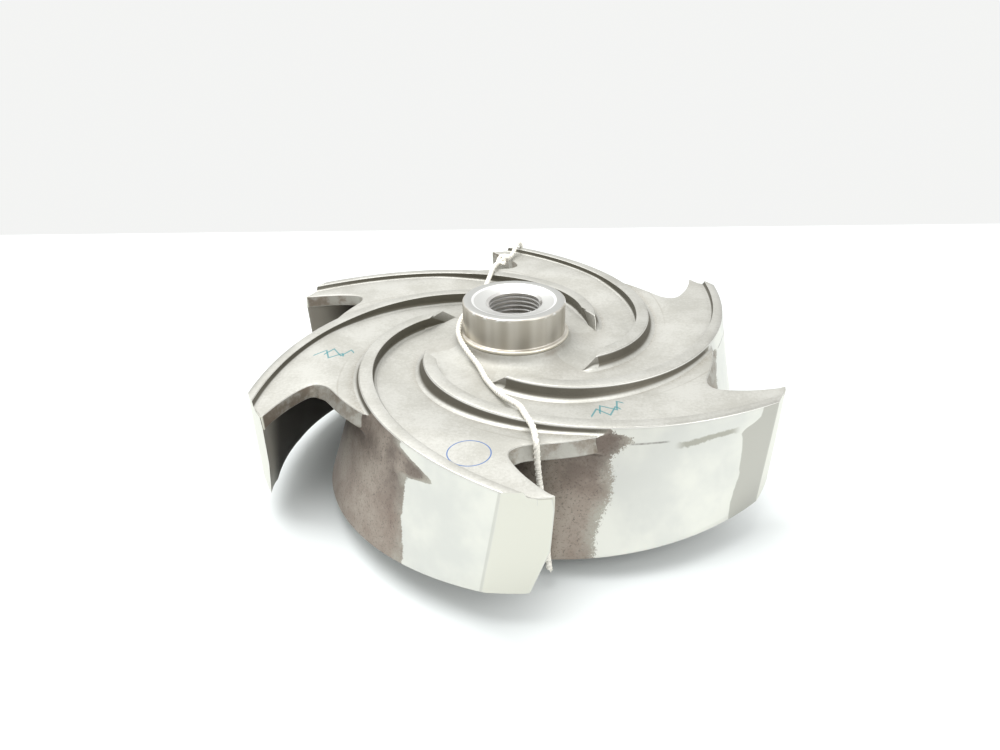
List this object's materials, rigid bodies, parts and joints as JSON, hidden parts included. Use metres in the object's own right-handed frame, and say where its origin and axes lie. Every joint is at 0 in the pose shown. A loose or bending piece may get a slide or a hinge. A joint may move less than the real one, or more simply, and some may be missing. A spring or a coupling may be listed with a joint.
{
  "type": "semi-open centrifugal pump impeller",
  "caption": "Semi-open centrifugal pump impeller with swept vanes, a scalloped back plate with pump-out ribs, and a threaded hub.",
  "frame": {"origin": "on the impeller's axis, at the level of the inner vane edges that it stands on", "axes": "+Z along the axis from the vanes towards the threaded hub; the reference view looks along +Y"},
  "size_m": [0.3376, 0.3698, 0.1148],
  "materials": {
    "cast_stainless": "blasted cast stainless steel, matt, warm grey",
    "vane_face_stainless": "cast stainless steel, ground bright near the tips, brown oxide tint further in",
    "machined_stainless": "turned stainless steel, fine tool marks",
    "cotton_twine": "undyed cotton twine"
  },
  "bodies": {
    "root": {"hub": "machined_stainless", "back_plate_disc": "cast_stainless", "back_plate_arm_1": "cast_stainless", "back_plate_arm_2": "cast_stainless", "back_plate_arm_3": "cast_stainless", "back_plate_arm_4": "cast_stainless", "back_plate_arm_5": "cast_stainless", "back_plate_arm_6": "cast_stainless", "pump_out_rib_1": "cast_stainless", "pump_out_rib_2": "cast_stainless", "pump_out_rib_3": "cast_stainless", "pump_out_rib_4": "cast_stainless", "pump_out_rib_5": "cast_stainless", "pump_out_rib_6": "cast_stainless", "vane_1": "vane_face_stainless", "vane_2": "vane_face_stainless", "vane_3": "vane_face_stainless", "vane_4": "vane_face_stainless", "vane_5": "vane_face_stainless", "vane_6": "vane_face_stainless", "twine": "cotton_twine", "twine_knot": "cotton_twine", "twine_tail": "cotton_twine"}
  },
  "joints": []
}
